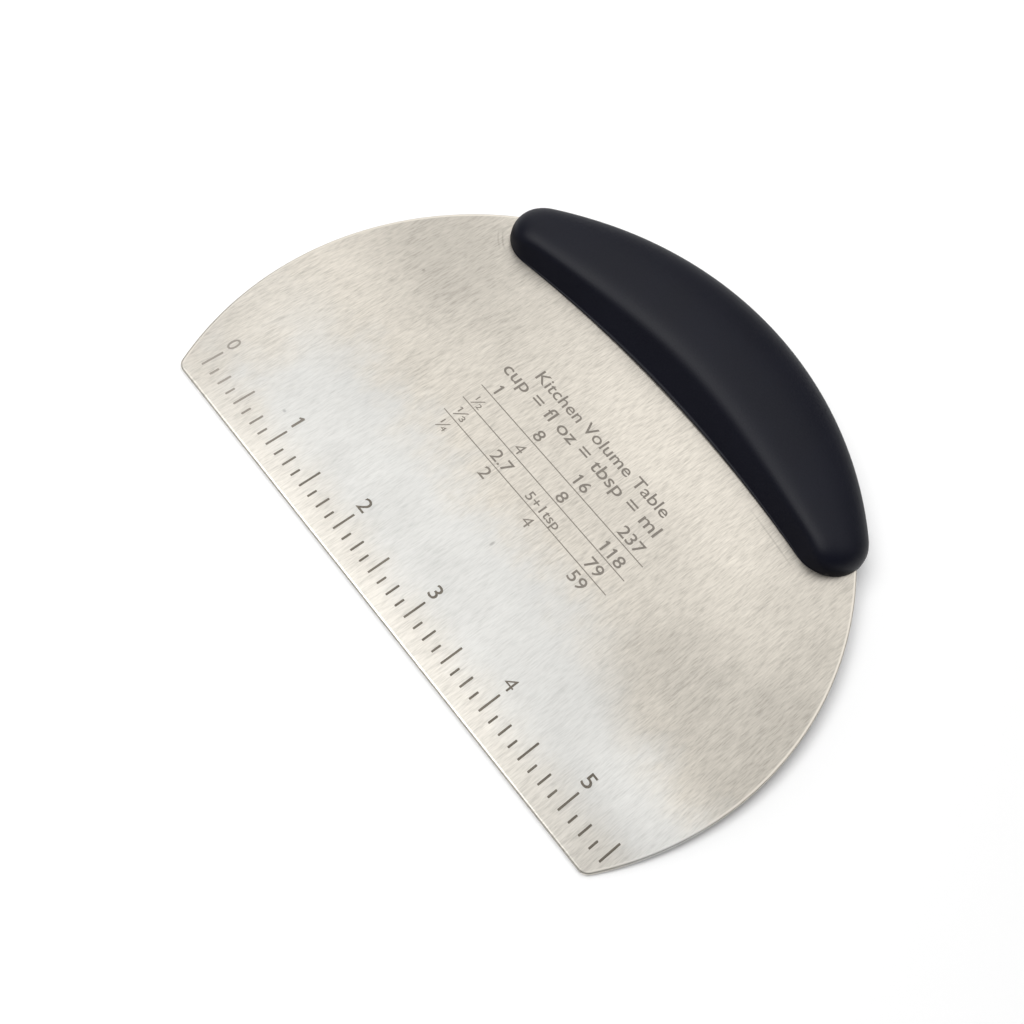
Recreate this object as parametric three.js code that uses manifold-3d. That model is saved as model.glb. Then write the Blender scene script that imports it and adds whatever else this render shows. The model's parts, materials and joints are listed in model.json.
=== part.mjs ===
// A bench scraper: a round-backed steel blade in a crescent handle. Millimetres.
// It is drawn flat, with X along the straight edge, Y from that edge towards the handle and Z out of
// the printed face, which is z = 0. At the end it is tipped onto its straight edge and the back of
// its handle, as it lies on a table.
import * as THREE from "three";
import { ParametricGeometry } from "three/addons/geometries/ParametricGeometry.js";
import { mergeVertices } from "three/addons/utils/BufferGeometryUtils.js";
import Module from "manifold-3d";

const wasm = await Module();
wasm.setup();

// Blade: a disc cut off along its straight edge, with a narrower tang hidden in the handle.
const BLADE_RADIUS = 81.2;
const BLADE_THICKNESS = 1;
const CENTRE_Y = 38.7; // centre of the round back above the straight edge
const CORNER_RADIUS = 2.5;
const EDGE_BREAK = 0.2;
const TANG_RADIUS = 73;
const TANG_HALF_ANGLE = THREE.MathUtils.degToRad(45.5); // from +Y to the step down to the tang

// Handle: the outer arc shares the blade's centre, and round ends join it to the blade-side arc.
const HANDLE_RADIUS = 84;
const HANDLE_END_RADIUS = 9.4;
const HANDLE_END_ANGLE = THREE.MathUtils.degToRad(42.8); // from +Y to the centre of a round end
const HANDLE_FOOT_Y = 88.2; // where the handle meets the blade on the centre line
const HANDLE_HALF_THICKNESS = 9.7;
const HANDLE_END_HALF_THICKNESS = 7.3;
const SKIN = 2.4;

// Core: two halves joined by pegs through the tang.
const PEG_RADIUS = 3;
const PEG_LENGTH = 4; // below the tang
const PEG_RING = 66; // from the blade's centre
const PEG_ANGLES = [-26, 0, 26].map(THREE.MathUtils.degToRad); // from +Y

const GAP = 0.3; // between pieces that touch
const MIDDLE_Z = -BLADE_THICKNESS / 2;
const LARGE = 400; // far bigger than the whole part
const CURVE_STEPS = 24; // in each arc of the blade
const OUTSIDE_STEPS = [60, 40]; // along and around the handle
const INSIDE_STEPS = [40, 28];

// Turn a closed geometry into a solid, without the triangles that a pole collapses.
function solidFrom(geometry) {
  geometry.deleteAttribute("normal");
  geometry.deleteAttribute("uv");
  const merged = mergeVertices(geometry, 1e-4);
  const triangles = [];
  for (let i = 0; i < merged.index.count; i += 3) {
    const corners = [0, 1, 2].map((k) => merged.index.getX(i + k));
    if (new Set(corners).size === 3) triangles.push(...corners);
  }
  const mesh = new wasm.Mesh({
    numProp: 3,
    vertProperties: Float32Array.from(merged.attributes.position.array),
    triVerts: Uint32Array.from(triangles),
  });
  return new wasm.Manifold(mesh);
}

// Turn a solid back into a mesh node.
function node(name, solid, material) {
  const { vertProperties, triVerts } = solid.getMesh();
  const geometry = new THREE.BufferGeometry();
  geometry.setAttribute("position", new THREE.BufferAttribute(vertProperties, 3));
  geometry.setIndex(new THREE.BufferAttribute(triVerts, 1));
  geometry.computeVertexNormals();
  const mesh = new THREE.Mesh(geometry, material);
  mesh.name = name;
  return mesh;
}

// A point at a distance and an angle from +Y about the blade's centre.
function aboutCentre(distance, angle) {
  return [distance * Math.sin(angle), CENTRE_Y + distance * Math.cos(angle)];
}

// The blade's outline, grown all round by `grow`: straight edge, rounded corners, round back, tang.
function bladeOutline(grow) {
  const radius = BLADE_RADIUS + grow;
  const cornerRadius = CORNER_RADIUS + grow;
  const cornerX = Math.sqrt((BLADE_RADIUS - CORNER_RADIUS) ** 2 - (CENTRE_Y - CORNER_RADIUS) ** 2);
  const cornerAngle = Math.atan2(CORNER_RADIUS - CENTRE_Y, cornerX);
  const stepAngle = Math.PI / 2 - TANG_HALF_ANGLE + grow / TANG_RADIUS;
  const outline = new THREE.Shape();
  outline.moveTo(-cornerX, -grow);
  outline.absarc(cornerX, CORNER_RADIUS, cornerRadius, -Math.PI / 2, cornerAngle);
  outline.absarc(0, CENTRE_Y, radius, cornerAngle, stepAngle);
  outline.absarc(0, CENTRE_Y, TANG_RADIUS + grow, stepAngle, Math.PI - stepAngle);
  outline.absarc(0, CENTRE_Y, radius, Math.PI - stepAngle, Math.PI - cornerAngle);
  outline.absarc(-cornerX, CORNER_RADIUS, cornerRadius, Math.PI - cornerAngle, 1.5 * Math.PI);
  return outline;
}

function bladeSolid() {
  const outline = bladeOutline(0);
  for (const angle of PEG_ANGLES) {
    const hole = new THREE.Path();
    hole.absarc(...aboutCentre(PEG_RING, angle), PEG_RADIUS + GAP, 0, 2 * Math.PI);
    outline.holes.push(hole);
  }
  const plate = new THREE.ExtrudeGeometry(outline, {
    depth: BLADE_THICKNESS - 2 * EDGE_BREAK,
    bevelThickness: EDGE_BREAK,
    bevelSize: EDGE_BREAK,
    bevelOffset: -EDGE_BREAK,
    bevelSegments: 1,
    curveSegments: CURVE_STEPS,
  });
  return solidFrom(plate.translate(0, 0, EDGE_BREAK - BLADE_THICKNESS));
}

// The space that the blade takes in the handle, with a gap all round.
function bladeSlot() {
  const depth = BLADE_THICKNESS + 2 * GAP;
  const slot = new THREE.ExtrudeGeometry(bladeOutline(GAP), {
    depth,
    bevelEnabled: false,
    curveSegments: CURVE_STEPS,
  });
  return solidFrom(slot.translate(0, 0, MIDDLE_Z - depth / 2));
}

// Half of the handle's cross-section, in parts of its width and half thickness: a steep wall rises
// from the blade, turns over a ridge and falls away in a long crown to the outer edge.
function handleSection() {
  const section = new THREE.Path();
  section.moveTo(0, 0);
  section.lineTo(0.075, 0.62);
  section.bezierCurveTo(0.115, 0.93, 0.17, 1, 0.3, 1);
  section.bezierCurveTo(0.62, 1, 1, 0.62, 1, 0);
  return section;
}

// The handle's whole shape, shrunk by `inset`: the cross-section is swept about the blade's centre
// between the outer arc and the blade-side arc, and closes over the round ends.
function handleSolid(inset, steps) {
  const section = handleSection();
  const outerRadius = HANDLE_RADIUS - inset;
  const endRadius = HANDLE_END_RADIUS - inset;
  const endDistance = HANDLE_RADIUS - HANDLE_END_RADIUS;
  const [endX, endY] = aboutCentre(endDistance, HANDLE_END_ANGLE);
  // The blade-side arc runs through the foot and touches both round ends.
  const rise = endY - HANDLE_FOOT_Y;
  const footRadius = (endX ** 2 + rise ** 2 - HANDLE_END_RADIUS ** 2) / (2 * (HANDLE_END_RADIUS - rise));
  const footCentreY = HANDLE_FOOT_Y - footRadius;
  const toFootCentre = CENTRE_Y - footCentreY;
  const endDirection = new THREE.Vector2(endX, endY - footCentreY).normalize();
  const touchX = footRadius * endDirection.x;
  const touchY = footCentreY + footRadius * endDirection.y;
  const touchAngle = Math.atan2(touchX, touchY - CENTRE_Y);
  const tipAngle = HANDLE_END_ANGLE + Math.asin(endRadius / endDistance);

  function innerReach(angle) {
    const across = toFootCentre * Math.sin(angle);
    return Math.sqrt((footRadius + inset) ** 2 - across ** 2) - toFootCentre * Math.cos(angle);
  }

  function surface(u, v, target) {
    const angle = tipAngle * Math.sin((u - 0.5) * Math.PI);
    const turn = Math.abs(angle);
    const past = turn - HANDLE_END_ANGLE;
    const side = endDistance * Math.sin(past);
    const chord = Math.sqrt(Math.max(endRadius ** 2 - side ** 2, 0));
    const onEnd = endDistance * Math.cos(past);
    const outer = turn > HANDLE_END_ANGLE ? onEnd + chord : outerRadius;
    const inner = turn > touchAngle ? onEnd - chord : innerReach(turn);
    const closing = past > 0 ? chord / endRadius : 1;
    const fullness = Math.cos((turn / tipAngle) * (Math.PI / 2)) ** 2;
    const thickness = THREE.MathUtils.lerp(HANDLE_END_HALF_THICKNESS, HANDLE_HALF_THICKNESS, fullness);
    const point = section.getPoint(v < 0.5 ? 2 * v : 2 - 2 * v);
    const [x, y] = aboutCentre(inner + point.x * (outer - inner), angle);
    const height = point.y * (thickness - inset) * closing;
    target.set(x, y, MIDDLE_Z + (v < 0.5 ? height : -height));
  }

  return solidFrom(new ParametricGeometry(surface, ...steps));
}

// The part of a solid above z, or below it.
function keep(solid, z, side) {
  const block = wasm.Manifold.cube([LARGE, LARGE, LARGE], true);
  return solid.intersect(block.translate([0, 0, z + (side * LARGE) / 2]));
}

// Upright cylinders at every peg position, from `bottom` to `top`.
function pegs(radius, bottom, top) {
  const steps = 32;
  const peg = wasm.Manifold.cylinder(top - bottom, radius, radius, steps);
  const each = PEG_ANGLES.map((angle) => peg.translate([...aboutCentre(PEG_RING, angle), bottom]));
  return wasm.Manifold.union(each);
}

const slot = bladeSlot();
const core = handleSolid(SKIN + GAP, INSIDE_STEPS).subtract(slot);
const pegBottom = -BLADE_THICKNESS - PEG_LENGTH;
const frontHalf = keep(core, MIDDLE_Z + GAP / 2, 1).add(pegs(PEG_RADIUS, pegBottom, 2));
const sockets = pegs(PEG_RADIUS + GAP, pegBottom - GAP, 0);
const backHalf = keep(core, MIDDLE_Z - GAP / 2, -1).subtract(sockets);
const skin = handleSolid(0, OUTSIDE_STEPS).subtract(handleSolid(SKIN, INSIDE_STEPS)).subtract(slot);

const steel = new THREE.MeshStandardMaterial({ color: 0xd8d3ca, roughness: 0.35, metalness: 1 });
const nylon = new THREE.MeshStandardMaterial({ color: 0x2e2f33, roughness: 0.5, metalness: 0 });
const rubber = new THREE.MeshStandardMaterial({ color: 0x1b1d23, roughness: 0.75, metalness: 0 });

const flat = new THREE.Group();
flat.add(
  node("blade", bladeSolid(), steel),
  node("core_front", frontHalf, nylon),
  node("core_back", backHalf, nylon),
  node("grip", skin, rubber),
);

// The slope at which the straight edge and the back of the handle both touch the table.
function restTilt(handle) {
  const points = handle.geometry.attributes.position;
  let slope = 0;
  for (let i = 0; i < points.count; i += 1) {
    slope = Math.max(slope, Math.atan2(-BLADE_THICKNESS - points.getZ(i), points.getY(i)));
  }
  return slope;
}

flat.rotation.x = restTilt(flat.getObjectByName("grip"));
const box = new THREE.Box3().setFromObject(flat, true);
const middle = box.getCenter(new THREE.Vector3());
flat.position.set(-middle.x, -middle.y, -box.min.z);

const scraper = new THREE.Group();
scraper.add(flat);
export default scraper;
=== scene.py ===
import json
import math

import bmesh
import bpy
from mathutils import Matrix, Vector


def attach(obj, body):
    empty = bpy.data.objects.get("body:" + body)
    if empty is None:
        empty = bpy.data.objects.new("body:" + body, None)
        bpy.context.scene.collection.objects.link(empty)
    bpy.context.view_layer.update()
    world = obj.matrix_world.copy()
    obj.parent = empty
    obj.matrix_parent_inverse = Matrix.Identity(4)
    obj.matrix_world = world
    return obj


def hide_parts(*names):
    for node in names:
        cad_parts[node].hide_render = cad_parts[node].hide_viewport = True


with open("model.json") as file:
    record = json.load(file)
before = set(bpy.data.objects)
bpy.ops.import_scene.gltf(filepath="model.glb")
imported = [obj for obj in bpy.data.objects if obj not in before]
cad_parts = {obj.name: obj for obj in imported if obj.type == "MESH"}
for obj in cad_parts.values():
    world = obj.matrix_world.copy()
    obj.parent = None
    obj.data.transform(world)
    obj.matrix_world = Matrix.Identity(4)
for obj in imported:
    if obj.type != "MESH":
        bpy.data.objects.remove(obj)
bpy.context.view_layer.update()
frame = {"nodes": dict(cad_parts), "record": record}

# ------------------------------------------------------------------------------------------------
# Blade. One stamped sheet of stainless steel, 1 mm thick: a disc cut off along its straight working
# edge, deburred all round and brushed at right angles to that edge. Its narrower tang hides in the
# handle, where the pegs of the core pass through three holes.
# ------------------------------------------------------------------------------------------------
MM = 0.001
BLADE_RADIUS = 81.2 * MM
BLADE_THICKNESS = 1.0 * MM
BLADE_CENTRE = Vector((0, 38.7 * MM, 0))
BLADE_STEPS = 360
CORNER_RADIUS = 2.5 * MM
EDGE_ROUNDING = 0.4 * MM
EDGE_SEGMENTS = 4
FLAT_MARGIN = 0.3 * MM
TANG_RADIUS = 73 * MM
TANG_HALF_ANGLE = math.radians(45.5)
PEG_RING = 66 * MM
PEG_HOLE_RADIUS = 3.3 * MM
PEG_ANGLES = [math.radians(a) for a in (-26, 0, 26)]

# The pieces are made flat, with the printed face at z = 0 and the middle of the straight edge at the
# origin, and are then laid down as the frame lies.
EDGE_MIDDLE = Vector((0, 0, -BLADE_THICKNESS / 2))
working_edge = next(m for m in frame["record"]["mounts"] if m["name"] == "working_edge")
rest_tilt = math.atan2(-working_edge["axis"][2], -working_edge["axis"][1])
laid_down = (
    Matrix.Translation(working_edge["pos_m"])
    @ Matrix.Rotation(rest_tilt, 4, "X")
    @ Matrix.Translation(-EDGE_MIDDLE)
)


def about_centre(distance, angle):
    """The point at a distance from the blade's centre, at an angle from +Y towards +X."""
    return BLADE_CENTRE + distance * Vector((math.sin(angle), math.cos(angle), 0))


def angle_from_y(point):
    """The angle from +Y of a point seen from the blade's centre."""
    return math.atan2(point.x - BLADE_CENTRE.x, point.y - BLADE_CENTRE.y)


def name_new(name):
    """Name the object that was just added."""
    piece = bpy.context.object
    piece.name = name
    piece.data.name = name
    return piece


def only(piece):
    """Make one object the only selected one and the active one."""
    bpy.ops.object.select_all(action="DESELECT")
    piece.select_set(True)
    bpy.context.view_layer.objects.active = piece


def edit(piece):
    """Open an object in edit mode with nothing selected."""
    only(piece)
    bpy.ops.object.mode_set(mode="EDIT")
    bpy.ops.mesh.select_all(action="DESELECT")


def leave_edit():
    bpy.ops.object.mode_set(mode="OBJECT")


def pick(piece, kind, test):
    """In edit mode, select just the verts, edges or faces that pass the test."""
    bpy.ops.mesh.select_mode(type={"verts": "VERT", "edges": "EDGE", "faces": "FACE"}[kind])
    bpy.ops.mesh.select_all(action="DESELECT")
    mesh = bmesh.from_edit_mesh(piece.data)
    for element in getattr(mesh, kind):
        if test(element):
            element.select_set(True)
    mesh.select_flush_mode()
    bmesh.update_edit_mesh(piece.data)


def apply_modifier(piece, kind, **settings):
    """Add a modifier, set it and apply it."""
    only(piece)
    modifier = piece.modifiers.new(kind.title(), kind)
    for key, value in settings.items():
        setattr(modifier, key, value)
    bpy.ops.object.modifier_apply(modifier=modifier.name)


def outward(piece):
    """Merge doubled vertices and point every face outwards."""
    edit(piece)
    bpy.ops.mesh.select_all(action="SELECT")
    bpy.ops.mesh.remove_doubles(threshold=0.001 * MM)
    bpy.ops.mesh.normals_make_consistent(inside=False)
    leave_edit()


def cut_away(piece, cutter):
    """Subtract a cutter from a piece and delete the cutter."""
    apply_modifier(piece, "BOOLEAN", operation="DIFFERENCE", object=cutter, solver="EXACT")
    bpy.data.objects.remove(cutter)


def join_all(pieces, name):
    """Join several objects into one."""
    only(pieces[0])
    for piece in pieces:
        piece.select_set(True)
    bpy.ops.object.join()
    return name_new(name)


def copy_of(piece):
    """A copy with its own mesh."""
    twin = piece.copy()
    twin.data = piece.data.copy()
    bpy.context.collection.objects.link(twin)
    return twin


def finish_piece(piece, material):
    """Lay the piece down with its place in its mesh, paint it and fix it to the scraper."""
    only(piece)
    piece.matrix_world = laid_down @ piece.matrix_world
    bpy.ops.object.transform_apply(location=True, rotation=True, scale=True)
    piece.data.materials.clear()
    piece.data.materials.append(material)
    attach(piece, "root")


bpy.ops.object.select_all(action="DESELECT")
bpy.ops.mesh.primitive_circle_add(
    vertices=BLADE_STEPS, radius=BLADE_RADIUS, fill_type="NGON", location=BLADE_CENTRE
)
blade = name_new("blade_sheet")
bpy.ops.object.transform_apply(location=True)

# Cut the disc off along the straight edge, then round the two corners. The short stretch of arc next
# to each corner is made one edge, so that the rounding has room.
edit(blade)
bpy.ops.mesh.select_all(action="SELECT")
bpy.ops.mesh.bisect(plane_co=(0, 0, 0), plane_no=(0, -1, 0), clear_outer=True)
edge_half_length = math.sqrt(BLADE_RADIUS**2 - BLADE_CENTRE.y**2)
corner_angle = math.pi / 2 + math.asin(BLADE_CENTRE.y / BLADE_RADIUS)
corner_reach = CORNER_RADIUS / math.tan(corner_angle / 2)
TOUCH = 0.01 * MM
pick(blade, "verts", lambda v: TOUCH < v.co.y < 1.2 * corner_reach)
bpy.ops.mesh.dissolve_verts()
pick(blade, "verts", lambda v: v.co.y < TOUCH and abs(v.co.x) > edge_half_length - TOUCH)
bpy.ops.mesh.bevel(offset=corner_reach, segments=10, affect="VERTICES")

# Draw the tang in to its own radius and give the sheet its thickness.
pick(blade, "verts", lambda v: abs(angle_from_y(v.co)) < TANG_HALF_ANGLE and v.co.y > BLADE_CENTRE.y)
tang_scale = TANG_RADIUS / BLADE_RADIUS
bpy.ops.transform.resize(value=(tang_scale, tang_scale, 1), center_override=BLADE_CENTRE)
bpy.ops.mesh.select_all(action="SELECT")
bpy.ops.mesh.extrude_region_move(TRANSFORM_OT_translate={"value": (0, 0, -BLADE_THICKNESS)})
leave_edit()
outward(blade)
slot_form = copy_of(blade)

# Punch the holes, deburr every edge, and set the flat faces in a little so that they shade flat.
punches = []
for angle in PEG_ANGLES:
    place = about_centre(PEG_RING, angle)
    bpy.ops.mesh.primitive_cylinder_add(
        vertices=48, radius=PEG_HOLE_RADIUS, depth=4 * BLADE_THICKNESS, location=place
    )
    punches.append(bpy.context.object)
cut_away(blade, join_all(punches, "punch"))
deburring = {"width": EDGE_ROUNDING, "segments": EDGE_SEGMENTS, "limit_method": "ANGLE"}
apply_modifier(blade, "BEVEL", angle_limit=math.radians(45), **deburring)
edit(blade)
pick(blade, "faces", lambda f: abs(f.normal.z) > 0.999)
bpy.ops.mesh.inset(thickness=FLAT_MARGIN, depth=0)
leave_edit()
only(blade)
bpy.ops.object.shade_smooth_by_angle(angle=math.radians(40))


class Signal:
    """One output of a shader node. Arithmetic on it adds Math nodes."""

    def __init__(self, shader, socket):
        self.shader = shader
        self.socket = socket

    def math(self, operation, *values):
        sockets = dict(enumerate(values))
        return self.shader.node("Math", {"operation": operation}, sockets)

    def __add__(self, other):
        return self.math("ADD", self, other)

    def __radd__(self, other):
        return self.math("ADD", other, self)

    def __sub__(self, other):
        return self.math("SUBTRACT", self, other)

    def __rsub__(self, other):
        return self.math("SUBTRACT", other, self)

    def __mul__(self, other):
        return self.math("MULTIPLY", self, other)

    def __rmul__(self, other):
        return self.math("MULTIPLY", other, self)

    def __abs__(self):
        return self.math("ABSOLUTE", self)

    def over(self, low, high):
        """0 below low, 1 above high, and smooth between them."""
        settings = {"interpolation_type": "SMOOTHSTEP"}
        return self.shader.node("MapRange", settings, {"Value": self, "From Min": low, "From Max": high})


PATCH_CORE = 0.25


class Shader:
    """A material with one Principled shader, and one method that adds any other node."""

    def __init__(self, name, **constants):
        self.material = bpy.data.materials.new(name)
        self.material.use_nodes = True
        self.tree = self.material.node_tree
        self.surface = self.tree.nodes["Principled BSDF"]
        for key, value in constants.items():
            self.surface.inputs[key.replace("_", " ")].default_value = value

    def node(self, kind, settings=None, sockets=None, output=0):
        made = self.tree.nodes.new("ShaderNode" + kind)
        for key, value in (settings or {}).items():
            setattr(made, key, value)
        for key, value in (sockets or {}).items():
            self.feed(made.inputs[key], value)
        return Signal(self, made.outputs[output])

    def feed(self, socket, value):
        if isinstance(value, Signal):
            self.tree.links.new(value.socket, socket)
        else:
            socket.default_value = value

    def set(self, name, value):
        self.feed(self.surface.inputs[name], value)

    def place(self):
        """Object coordinates, in metres."""
        return self.node("TexCoord", output="Object")

    def noise(self, grain, detail=2, roughness=0.5, seed=0):
        """Noise whose grains have the given size along X, Y and Z, in metres."""
        scale = tuple(1 / size for size in grain)
        sockets = {"Vector": self.place(), "Location": (seed, seed, seed), "Scale": scale}
        place = self.node("Mapping", None, sockets)
        sockets = {"Vector": place, "Scale": 1.0, "Detail": detail, "Roughness": roughness}
        return self.node("TexNoise", None, sockets)

    def distance(self, middle, reach):
        """How far a point of the blade is from a middle, in reaches, both in flat millimetres."""
        scale = (1000 / reach[0], 1000 / reach[1] / math.cos(rest_tilt), 0)
        middle = laid_down @ (Vector((*middle, 0)) * MM)
        offset = tuple(-along * size for along, size in zip(middle, scale))
        place = self.node("Mapping", None, {"Vector": self.place(), "Location": offset, "Scale": scale})
        return self.node("VectorMath", {"operation": "LENGTH"}, {0: place}, output=1)

    def patch(self, middle, reach, ragged):
        """1 in the middle of an oval patch and 0 beyond its reach."""
        return 1 - (self.distance(middle, reach) + ragged).over(PATCH_CORE, 1.0)

    def height_on_blade(self):
        """The distance from the working edge, in millimetres."""
        across = self.node("SeparateXYZ", None, {"Vector": self.place()}, output=1)
        return (across - working_edge["pos_m"][1]) * (1000 / math.cos(rest_tilt))

    def mix(self, factor, first, second):
        """A colour between two colours."""
        made = self.tree.nodes.new("ShaderNodeMix")
        made.data_type = "RGBA"
        for index, value in ((0, factor), (6, first), (7, second)):
            self.feed(made.inputs[index], value)
        return Signal(self, made.outputs[2])

    def bump(self, height, distance):
        return self.node("Bump", None, {"Height": height, "Distance": distance, "Strength": 1.0})


# Painted reflection and shade: lighter and darker oval patches in the steel's colour that stand in for
# the surroundings seen in it, on
# the flat blade in millimetres: the middle and the reach of each patch, and how much lighter or darker it
# makes the surface.
PAINTED_REFLECTION_PATCHES = [
    ((16, 78), (52, 18), 0.075),
    ((-63, 71), (38, 26), -0.085),
    ((-82, 38), (34, 34), 0.060),
    ((-62, 22), (18, 14), 0.025),
    ((-40, 43), (5, 20), -0.020),
    ((77, 47), (22, 24), -0.065),
    ((52, 42), (18, 21), -0.060),
    ((46, 66), (20, 14), 0.035),
    ((54, 72), (8, 6), -0.025),
    ((76, 70), (16, 18), -0.040),
    ((74, 20), (32, 13), 0.100),
    ((-4, 10), (44, 16), -0.045),
]
STEEL_LEVEL = 0.525
CLOUD_DEPTH = 0.06
REFLECTION_PATCH_RAGGEDNESS = 0.8
WARM_STEEL = (1.0, 0.935, 0.830, 1)
REFLECTION_BAND_TINT = (1.0, 0.992, 0.955, 1)

# The grain of the clouding, of the single brush marks and of bundles of them, along X, Y and Z.
CLOUD_GRAIN = (9 * MM, 15 * MM, 9 * MM)
FINE_GRAIN = (0.26 * MM, 2.8 * MM, 2 * MM)
BROAD_GRAIN = (1.1 * MM, 7 * MM, 4 * MM)
FINE_SHARE = 0.85
BROAD_SHARE = 0.22
STREAK_SKEW = 0.25
STREAK_DEPTH = 1.05
STREAK_LOSS_IN_REFLECTION = 0.50

# The painted reflection: a pale, neutral band over the rule that stands in for the lamps seen in the
# steel. Its upper edge wavers and dips on the right, it fades out on the left, and little of it is left
# right at the foot of the blade. Lengths are in millimetres.
REFLECTION_BAND_EDGE_Y = 34
REFLECTION_BAND_BLEND = 9
REFLECTION_BAND_WAVER = 30
REFLECTION_BAND_DIP = 9
DIP_PATCH = ((74, 30), (46, 26))
FADE_PATCH = ((-82, 20), (34, 36))
FADE_SHARE = 0.85
FOOT_BLEND = (3, 14)
FOOT_WAVER = 12
FOOT_REFLECTION = 0.3

# Small dark specks, two arcs scuffed in at the left end of the handle and one by its right foot (the
# arcs' centre and radii, then the patch in which they show), and a painted highlight: a brighter band
# along the round edge.
SPECKS = [((-61.0, 62.2), (0.6, 0.7)), ((5.7, 30.0), (0.5, 1.1)), ((-47.7, 12.4), (0.7, 0.6))]
SPECK_DEPTH = 0.3
END_SCUFF = ((-50.7, 93.4), (11.3, 12.4), (-57.4, 84.2), (4.6, 3.2))
FOOT_SCUFF = ((0, -210.0), (295.6,), (42.5, 82.4), (13, 3))
SCUFF_EDGE = (0.08, 0.34)
SCUFF_DEPTH = 0.18
RIM_HIGHLIGHT_LEVEL = 0.70
RIM_HIGHLIGHT_START = BLADE_RADIUS / MM - 0.7
RIM_HIGHLIGHT_BLEND = 0.2


def brushed_steel():
    """Stainless steel with short brush marks along Y, warm but for a pale band of painted reflection,
    with painted reflection and shade in patches and a painted highlight along the rim.
    """
    shader = Shader("brushed_steel", Metallic=1.0)
    ragged = shader.noise(CLOUD_GRAIN, detail=6, roughness=0.65, seed=7) - 0.5
    fine = shader.noise(FINE_GRAIN, detail=3, roughness=0.6) - 0.5
    broad = shader.noise(BROAD_GRAIN, detail=3, seed=3) - 0.5
    level = STEEL_LEVEL + ragged * CLOUD_DEPTH
    # Painted reflection and shade: each patch lightens or darkens the steel's colour.
    for middle, reach, change in PAINTED_REFLECTION_PATCHES:
        level = level + shader.patch(middle, reach, ragged * REFLECTION_PATCH_RAGGEDNESS) * change

    # Painted reflection: the pale band is laid out by height above the working edge, and the brush marks
    # show less within it.
    height = shader.height_on_blade()
    wavering = height + shader.patch(*DIP_PATCH, ragged) * REFLECTION_BAND_DIP + ragged * REFLECTION_BAND_WAVER
    reflection_band = 1 - wavering.over(REFLECTION_BAND_EDGE_Y - REFLECTION_BAND_BLEND, REFLECTION_BAND_EDGE_Y + REFLECTION_BAND_BLEND)
    reflection_band = reflection_band * (1 - shader.patch(*FADE_PATCH, ragged) * FADE_SHARE)
    above_foot = (height + ragged * FOOT_WAVER).over(*FOOT_BLEND)
    reflection_band = reflection_band * (FOOT_REFLECTION + above_foot * (1 - FOOT_REFLECTION))

    streaks = fine * FINE_SHARE + broad * BROAD_SHARE
    streaks = streaks - abs(streaks) * STREAK_SKEW
    level = level * (1 + streaks * (STREAK_DEPTH - reflection_band * STREAK_LOSS_IN_REFLECTION))
    for middle, reach in SPECKS:
        level = level * (1 - shader.patch(middle, reach, ragged) * SPECK_DEPTH)
    for centre, radii, middle, reach in (END_SCUFF, FOOT_SCUFF):
        near = shader.patch(middle, reach, 0.0)
        for radius in radii:
            away = abs(shader.distance(centre, (1, 1)) - radius)
            level = level * (1 - (1 - away.over(*SCUFF_EDGE)) * near * SCUFF_DEPTH)
    # Painted highlight: a thin band along the round edge is lifted to a brighter level.
    from_centre = shader.distance(BLADE_CENTRE.xy / MM, (1, 1))
    inside = 1 - from_centre.over(RIM_HIGHLIGHT_START - RIM_HIGHLIGHT_BLEND, RIM_HIGHLIGHT_START + RIM_HIGHLIGHT_BLEND)
    level = RIM_HIGHLIGHT_LEVEL + (level - RIM_HIGHLIGHT_LEVEL) * inside

    # Painted reflection: inside the band the warm steel turns pale and neutral.
    colour = shader.mix(reflection_band, WARM_STEEL, REFLECTION_BAND_TINT)
    sockets = {"Vector": colour, "Scale": level}
    shader.set("Base Color", shader.node("VectorMath", {"operation": "SCALE"}, sockets))
    shader.set("Roughness", 0.38 + streaks * 0.1)
    shader.set("Normal", shader.bump(streaks, 0.004 * MM))
    return shader.material


steel = brushed_steel()
finish_piece(blade, steel)
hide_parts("blade")

# ------------------------------------------------------------------------------------------------
# Rule and table. They are etched dark into the steel: a rule in inches and eighths along the
# working edge, and a table of kitchen volumes. Each mark is a film of dark oxide on the face.
# ------------------------------------------------------------------------------------------------
INCH = 25.4 * MM
MARK_HEIGHT = 0.015 * MM
MARK_ROOT = 0.02 * MM
LINE_WIDTH = 0.52 * MM
RULE_ZERO_X = -68.4 * MM
RULE_FOOT_Y = 4.2 * MM
EIGHTHS = 44
HALF_TOP_Y = 9.9 * MM
QUARTER_TOP_Y = 7.8 * MM
EIGHTH_TOP_Y = 6.7 * MM
FIGURE_HEIGHT = 0.73
FIGURE_STRETCH = 1.12
STROKE_GAIN = 0.03 * MM


def mark_bar(low, high):
    """One straight mark from its low corner to its high corner, with softly rounded corners."""
    size = (high[0] - low[0], high[1] - low[1], MARK_HEIGHT + MARK_ROOT)
    middle = ((low[0] + high[0]) / 2, (low[1] + high[1]) / 2, (MARK_HEIGHT - MARK_ROOT) / 2)
    bpy.ops.mesh.primitive_cube_add(size=1, location=middle, scale=size)
    bar = bpy.context.object
    bpy.ops.object.transform_apply(location=True, rotation=False, scale=True)
    edit(bar)
    pick(bar, "edges", lambda e: abs(e.verts[0].co.z - e.verts[1].co.z) > MARK_ROOT)
    bpy.ops.mesh.bevel(offset=0.3 * min(size[:2]), segments=2, affect="EDGES")
    leave_edit()
    return bar


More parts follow.
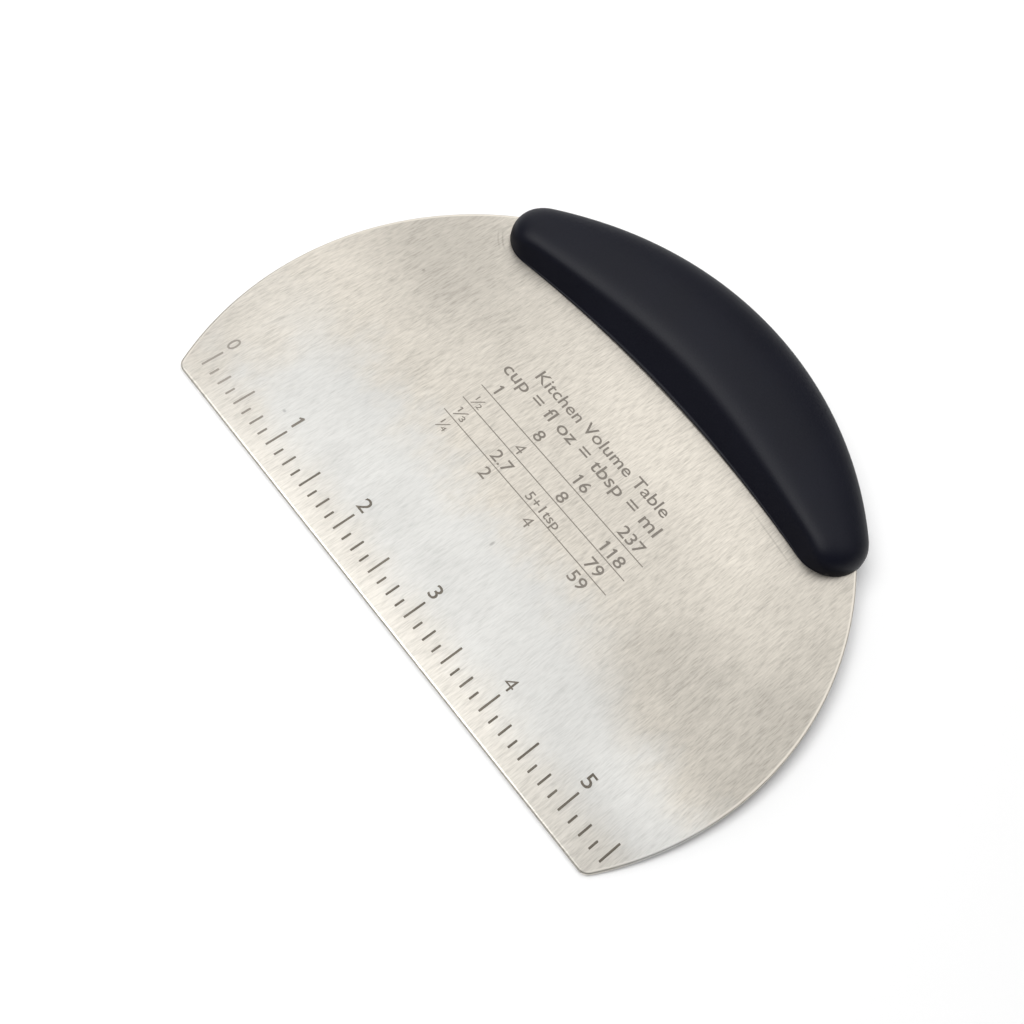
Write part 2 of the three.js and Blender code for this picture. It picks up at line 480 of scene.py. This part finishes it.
def mark_text(
    words, middle_x, baseline_y, height, stretch=FIGURE_STRETCH, width=None, gain=STROKE_GAIN
):
    """One line of lettering, centred on middle_x, with figures of the given height."""
    bpy.ops.object.text_add(location=(middle_x, baseline_y, (MARK_HEIGHT - MARK_ROOT) / 2))
    line = bpy.context.object
    line.data.body = words
    line.data.align_x = "CENTER"
    line.data.size = height / FIGURE_HEIGHT
    line.data.extrude = (MARK_HEIGHT + MARK_ROOT) / 2
    line.data.offset = gain
    line.data.resolution_u = 4
    only(line)
    bpy.ops.object.convert(target="MESH")
    line = bpy.context.object
    line.scale.x = width / line.dimensions.x if width else stretch
    bpy.ops.object.transform_apply(location=True, rotation=False, scale=True)
    outward(line)
    return line


FIGURE_PITCH = 0.76
NARROW_NOUGHT = 0.92
OPEN_FOUR = -0.03 * MM
FLAG_LENGTH = 0.34
FLAG_WEIGHT = 0.14
FLAG_SLOPE = math.radians(38)
RULE_FIGURE_HEIGHT = 3.6 * MM
RULE_FIGURE_BASE_Y = 11.4 * MM
RULE_FIGURE_SHIFT_X = -0.4 * MM

ticks = []
for eighth in range(EIGHTHS + 1):
    top = HALF_TOP_Y if eighth % 4 == 0 else QUARTER_TOP_Y if eighth % 2 == 0 else EIGHTH_TOP_Y
    x = RULE_ZERO_X + eighth * INCH / 8
    ticks.append(mark_bar((x - LINE_WIDTH / 2, RULE_FOOT_Y), (x + LINE_WIDTH / 2, top)))
rule_ticks = join_all(ticks, "rule_ticks")



def mark_figure(figure, x, baseline_y, height):
    """One figure, centred on x. A nought is drawn in, a 4 is opened up and a 1 gets a flag."""
    if figure == "0":
        return mark_text(figure, x, baseline_y, height, stretch=NARROW_NOUGHT)
    if figure == "4":
        return mark_text(figure, x, baseline_y, height, gain=OPEN_FOUR)
    if figure != "1":
        return mark_text(figure, x, baseline_y, height)
    stem = mark_text(figure, x, baseline_y, height)
    top = baseline_y + height
    flag = mark_bar((x - FLAG_LENGTH * height, top - FLAG_WEIGHT * height), (x, top))
    only(flag)
    bpy.ops.transform.rotate(value=-FLAG_SLOPE, orient_axis="Z", center_override=(x, top, 0))
    bpy.ops.object.transform_apply(location=True, rotation=True, scale=False)
    apply_modifier(stem, "BOOLEAN", operation="UNION", object=flag, solver="EXACT")
    bpy.data.objects.remove(flag)
    return stem


def mark_number(number, middle_x, baseline_y, height):
    """A whole number, its figures spaced evenly about middle_x."""
    first_x = middle_x - (len(number) - 1) / 2 * FIGURE_PITCH * height
    return [
        mark_figure(figure, first_x + place * FIGURE_PITCH * height, baseline_y, height)
        for place, figure in enumerate(number)
    ]


figures = []
for inch in range(6):
    x = RULE_ZERO_X + inch * INCH + RULE_FIGURE_SHIFT_X
    figures += mark_number(str(inch), x, RULE_FIGURE_BASE_Y, RULE_FIGURE_HEIGHT)
rule_figures = join_all(figures, "rule_figures")

TABLE_LEFT_X = -27.4 * MM
TABLE_RIGHT_X = 30.0 * MM
TABLE_LINES_Y = [y * MM for y in (53.5, 47.9, 42.4)]
TABLE_LINE_WIDTH = 0.24 * MM
TABLE_COLUMNS_X = [x * MM for x in (-23.8, -8.9, 6.2, 23.5)]
TABLE_ROWS_Y = [y * MM for y in (54.4, 48.5, 43.2, 38.2)]
TABLE_FIGURE_HEIGHT = 3.2 * MM
TABLE_ROWS = [
    ("1", "8", "16", "237"),
    ("½", "4", "8", "118"),
    ("⅓", "2.7", "5+1tsp", "79"),
    ("¼", "2", "4", "59"),
]
SMALL_ENTRIES = {"5+1tsp": 0.79, "½": 0.9, "⅓": 0.9, "¼": 0.9}

table = [
    mark_bar((TABLE_LEFT_X, y - TABLE_LINE_WIDTH / 2), (TABLE_RIGHT_X, y + TABLE_LINE_WIDTH / 2))
    for y in TABLE_LINES_Y
]
for row, baseline in zip(TABLE_ROWS, TABLE_ROWS_Y):
    for entry, x in zip(row, TABLE_COLUMNS_X):
        if entry.isdecimal():
            table += mark_number(entry, x, baseline, TABLE_FIGURE_HEIGHT)
        else:
            height = TABLE_FIGURE_HEIGHT * SMALL_ENTRIES.get(entry, 1.0)
            gain = 0 if len(entry) == 1 else STROKE_GAIN
            table.append(mark_text(entry, x, baseline, height, gain=gain))
table.append(mark_text("Kitchen Volume Table", 1.0 * MM, 65.2 * MM, 3.3 * MM, width=45.6 * MM))
table.append(mark_text("cup = fl oz = tbsp = ml", -0.8 * MM, 60.1 * MM, 3.6 * MM, width=53.9 * MM))
volume_table = join_all(table, "volume_table")


OXIDE_DARK = (0.100, 0.086, 0.069, 1)
OXIDE_PALE = (0.150, 0.131, 0.107, 1)
OXIDE_WORN = (0.29, 0.265, 0.235, 1)
WORN_REACH = 1.6 * INCH
WORN_WAVER = 20 * MM
TABLE_FADE_Y = (20, 36)
TABLE_FADE = 0.45


def etched_oxide():
    """The dark taupe film that etching leaves, fainter in the table and towards the rule's zero."""
    shader = Shader("etched_oxide", Metallic=0.6, Roughness=0.5)
    streaks = shader.noise((0.30 * MM, 8 * MM, 2 * MM), detail=2, seed=11)
    along = shader.node("SeparateXYZ", None, {"Vector": shader.place()})
    wavering = along + (streaks - 0.5) * WORN_WAVER
    worn = 1 - wavering.over(RULE_ZERO_X, RULE_ZERO_X + WORN_REACH)
    worn = worn + shader.height_on_blade().over(*TABLE_FADE_Y) * TABLE_FADE
    oxide = shader.mix(streaks.over(0.3, 0.7), OXIDE_DARK, OXIDE_PALE)
    shader.set("Base Color", shader.mix(worn, oxide, OXIDE_WORN))
    return shader.material


oxide = etched_oxide()
for marks in (rule_ticks, rule_figures, volume_table):
    finish_piece(marks, oxide)

# ------------------------------------------------------------------------------------------------
# Grip. A soft elastomer moulded over the core: a steep wall rises from a thin lip on the blade, turns
# over a ridge and falls away in a long crown to the outer edge. Both faces are alike.
# ------------------------------------------------------------------------------------------------
HANDLE_RADIUS = 84 * MM
END_RADIUS = 9.4 * MM
END_ANGLE = math.radians(42.8)
END_DISTANCE = HANDLE_RADIUS - END_RADIUS
FOOT_Y = 88.2 * MM
HALF_THICKNESS = 9.6 * MM
END_HALF_THICKNESS = 7.2 * MM
SLOT_GAP = 0.05 * MM
STATIONS = 96
SECTION_STEPS = 10
END_FULLNESS = 3.0

# The blade-side arc runs through the foot on the centre line and touches both round ends.
end_centre = about_centre(END_DISTANCE, END_ANGLE)
end_rise = end_centre.y - FOOT_Y
foot_radius = (end_centre.x**2 + end_rise**2 - END_RADIUS**2) / (2 * (END_RADIUS - end_rise))
foot_centre = Vector((0, FOOT_Y - foot_radius, 0))
touch_angle = angle_from_y(foot_centre + foot_radius * (end_centre - foot_centre).normalized())
tip_angle = END_ANGLE + math.asin(END_RADIUS / END_DISTANCE)


def station(angle):
    """The grip's inner reach, outer reach and half thickness at an angle from +Y."""
    turn = abs(angle)
    side = END_DISTANCE * math.sin(turn - END_ANGLE)
    chord = math.sqrt(max(END_RADIUS**2 - side**2, 0))
    along = END_DISTANCE * math.cos(turn - END_ANGLE)
    centre_gap = BLADE_CENTRE.y - foot_centre.y
    across = centre_gap * math.sin(turn)
    on_arc = math.sqrt(foot_radius**2 - across**2) - centre_gap * math.cos(turn)
    inner = along - chord if turn > touch_angle else on_arc
    outer = along + chord if turn > END_ANGLE else HANDLE_RADIUS
    beyond = side / END_RADIUS if turn > END_ANGLE else 0
    closing = max(1 - beyond**END_FULLNESS, 0) ** (1 / END_FULLNESS)
    fullness = math.cos(turn / tip_angle * math.pi / 2) ** 2
    thickness = END_HALF_THICKNESS + (HALF_THICKNESS - END_HALF_THICKNESS) * fullness
    return inner, outer, thickness * closing


def section_curve():
    """The closed cross-section on a unit width and half thickness: (place, handle in, handle out)."""
    front = [
        ((0.000, 0.105), (0.000, 0.070), (0.000, 0.118)),
        ((0.012, 0.130), (0.007, 0.130), (0.024, 0.190)),
        ((0.118, 0.660), (0.094, 0.540), (0.134, 0.740)),
        ((0.175, 0.840), (0.153, 0.798), (0.235, 0.954)),
        ((0.440, 1.000), (0.330, 1.000), (0.700, 1.000)),
    ]
    outer_edge = [((1, 0), (1, 0.62), (1, -0.62))]
    back = [tuple((y, -z) for y, z in (place, out, into)) for place, into, out in reversed(front)]
    knots = front + outer_edge + back
    data = bpy.data.curves.new("section", "CURVE")
    data.dimensions = "3D"
    data.resolution_u = SECTION_STEPS
    spline = data.splines.new("BEZIER")
    spline.bezier_points.add(len(knots) - 1)
    spline.use_cyclic_u = True
    for point, (place, into, out) in zip(spline.bezier_points, knots):
        point.co = (0, *place)
        point.handle_left = (0, *into)
        point.handle_right = (0, *out)
    curve = bpy.data.objects.new("section", data)
    bpy.context.collection.objects.link(curve)
    only(curve)
    bpy.ops.object.convert(target="MESH")
    return name_new("grip_skin")


def carry_ring(before, after):
    """Turn, resize and slide the selected ring from one station to the next."""
    (angle_0, inner_0, outer_0, half_0), (angle_1, inner_1, outer_1, half_1) = before, after
    bpy.ops.transform.rotate(value=angle_1 - angle_0, orient_axis="Z", center_override=GRIP_AXIS)
    wider = (outer_1 - inner_1) / (outer_0 - inner_0)
    thicker = half_1 / half_0
    turned = GRIP_AXIS + inner_0 * Vector((math.sin(angle_1), math.cos(angle_1), 0))
    bpy.ops.transform.resize(value=(wider, wider, thicker), center_override=turned)
    slide = (inner_1 - inner_0) * Vector((math.sin(angle_1), math.cos(angle_1), 0))
    bpy.ops.transform.translate(value=slide)


GRIP_AXIS = BLADE_CENTRE + Vector((0, 0, -BLADE_THICKNESS / 2))
grip = section_curve()
grip.location = GRIP_AXIS
bpy.ops.object.transform_apply(location=True, rotation=False, scale=False)
turns = [tip_angle * math.sin((i / STATIONS - 0.5) * math.pi) for i in range(1, STATIONS)]
edit(grip)
bpy.ops.mesh.select_all(action="SELECT")
ring = (0, 0, 1, 1)
for number, angle in enumerate(turns):
    if number:
        bpy.ops.mesh.extrude_region_move()
    next_ring = (angle, *station(angle))
    carry_ring(ring, next_ring)
    ring = next_ring
bpy.ops.mesh.extrude_region_move()
bpy.ops.mesh.merge(type="CENTER")
pick(grip, "edges", lambda e: e.is_boundary)
bpy.ops.mesh.extrude_region_move()
bpy.ops.mesh.merge(type="CENTER")
leave_edit()
outward(grip)

# Take out the room for the core, which the elastomer is moulded round, and the slot for the blade.
core_form = join_all([copy_of(frame["nodes"][name]) for name in ("core_front", "core_back")], "core_form")
core_form.matrix_world = laid_down.inverted()
bpy.ops.object.transform_apply(location=True, rotation=True, scale=False)
outward(core_form)
cut_away(grip, core_form)
edit(slot_form)
bpy.ops.mesh.select_all(action="SELECT")
bpy.ops.transform.shrink_fatten(value=SLOT_GAP)
leave_edit()
cut_away(grip, slot_form)
only(grip)
bpy.ops.object.shade_smooth_by_angle(angle=math.radians(50))


RUBBER_DEEP = (0.0016, 0.0021, 0.0075, 1)
RUBBER_BLOOM = (0.0026, 0.0032, 0.0095, 1)


def soft_rubber():
    """Matte blue-black elastomer with a very fine moulded grain."""
    shader = Shader("soft_rubber", Metallic=0.0, Specular_IOR_Level=0.2)
    grain = shader.noise((0.35 * MM, 0.35 * MM, 0.35 * MM), detail=3, roughness=0.6)
    bloom = shader.noise((14 * MM, 14 * MM, 14 * MM), detail=3, seed=5)
    shader.set("Base Color", shader.mix(bloom.over(0.3, 0.7), RUBBER_DEEP, RUBBER_BLOOM))
    shader.set("Roughness", 0.46 + bloom * 0.08)
    shader.set("Normal", shader.bump(grain, 0.03 * MM))
    return shader.material


finish_piece(grip, soft_rubber())
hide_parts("grip")

# ------------------------------------------------------------------------------------------------
# Core. Two moulded nylon halves clamp the tang, and pegs on the front half pass through the tang into
# sockets in the back half. The grip hides them.
# ------------------------------------------------------------------------------------------------
NYLON_DARK = (0.022, 0.022, 0.025, 1)
NYLON_PALE = (0.03, 0.03, 0.034, 1)


def moulded_nylon():
    """Plain dark nylon with the faint texture of its mould."""
    shader = Shader("moulded_nylon", Metallic=0.0)
    texture = shader.noise((0.6 * MM, 0.6 * MM, 0.6 * MM), detail=2, seed=9)
    shader.set("Base Color", shader.mix(texture.over(0.3, 0.7), NYLON_DARK, NYLON_PALE))
    shader.set("Roughness", 0.42 + texture * 0.15)
    shader.set("Normal", shader.bump(texture, 0.01 * MM))
    return shader.material


nylon = moulded_nylon()
for name in ("core_front", "core_back"):
    frame["nodes"][name].data.materials.clear()
    frame["nodes"][name].data.materials.append(nylon)

# ------------------------------------------------------------------------------------------------
# Studio. A pale floor, a dim even surround, and large soft lamps.
# ------------------------------------------------------------------------------------------------
FLOOR_SIZE = 4.0

bpy.ops.object.select_all(action="DESELECT")
bpy.ops.mesh.primitive_plane_add(size=FLOOR_SIZE)
floor = name_new("floor")
paper = Shader("white_paper", Roughness=0.9)
paper.set("Base Color", (0.98, 0.98, 0.98, 1))
floor.data.materials.append(paper.material)

SURROUND_STRENGTH = 0.15

world = bpy.data.worlds.new("dim_room")
world.use_nodes = True
world.node_tree.nodes["Background"].inputs["Color"].default_value = (1, 1, 1, 1)
world.node_tree.nodes["Background"].inputs["Strength"].default_value = SURROUND_STRENGTH
bpy.context.scene.world = world


def soft_lamp(name, place, target, size, power):
    """A rectangular lamp that faces the target."""
    data = bpy.data.lights.new(name, "AREA")
    data.shape = "RECTANGLE"
    data.size, data.size_y = size
    data.energy = power
    lamp = bpy.data.objects.new(name, data)
    bpy.context.collection.objects.link(lamp)
    lamp.location = place
    lamp.rotation_euler = (Vector(target) - Vector(place)).to_track_quat("-Z", "Y").to_euler()


soft_lamp("front_lamp", (-0.33, -0.5, 1.1), (-0.33, -0.5, 0), (0.6, 0.9), 12.5)
soft_lamp("back_lamp", (0, 0.75, 1.1), (0, 0.75, 0), (2.0, 1.2), 9.5)
soft_lamp("side_lamp", (-1.0, 0.6, 0.57), (0, 0, 0), (0.9, 0.9), 2.2)

# The camera looks down at the printed face from beyond the working edge, rolled to the left.
CAMERA_PLACE = Vector((67.3, -52.0, 227.9)) * MM
CAMERA_AIM = Vector((2.35, 38.42, 0)) * MM
CAMERA_UP = Vector((-0.734, 0.533, 0.421))
LENS = 40.0

forward = (CAMERA_AIM - CAMERA_PLACE).normalized()
right = forward.cross(CAMERA_UP).normalized()
turned = Matrix((right, right.cross(forward), -forward)).transposed().to_4x4()
camera_data = bpy.data.cameras.new("camera")
camera_data.lens = LENS
camera_data.clip_start = 0.005
camera = bpy.data.objects.new("camera", camera_data)
bpy.context.collection.objects.link(camera)
camera.matrix_world = laid_down @ Matrix.Translation(CAMERA_PLACE) @ turned
bpy.context.scene.camera = camera
bpy.context.scene.view_settings.view_transform = "Standard"
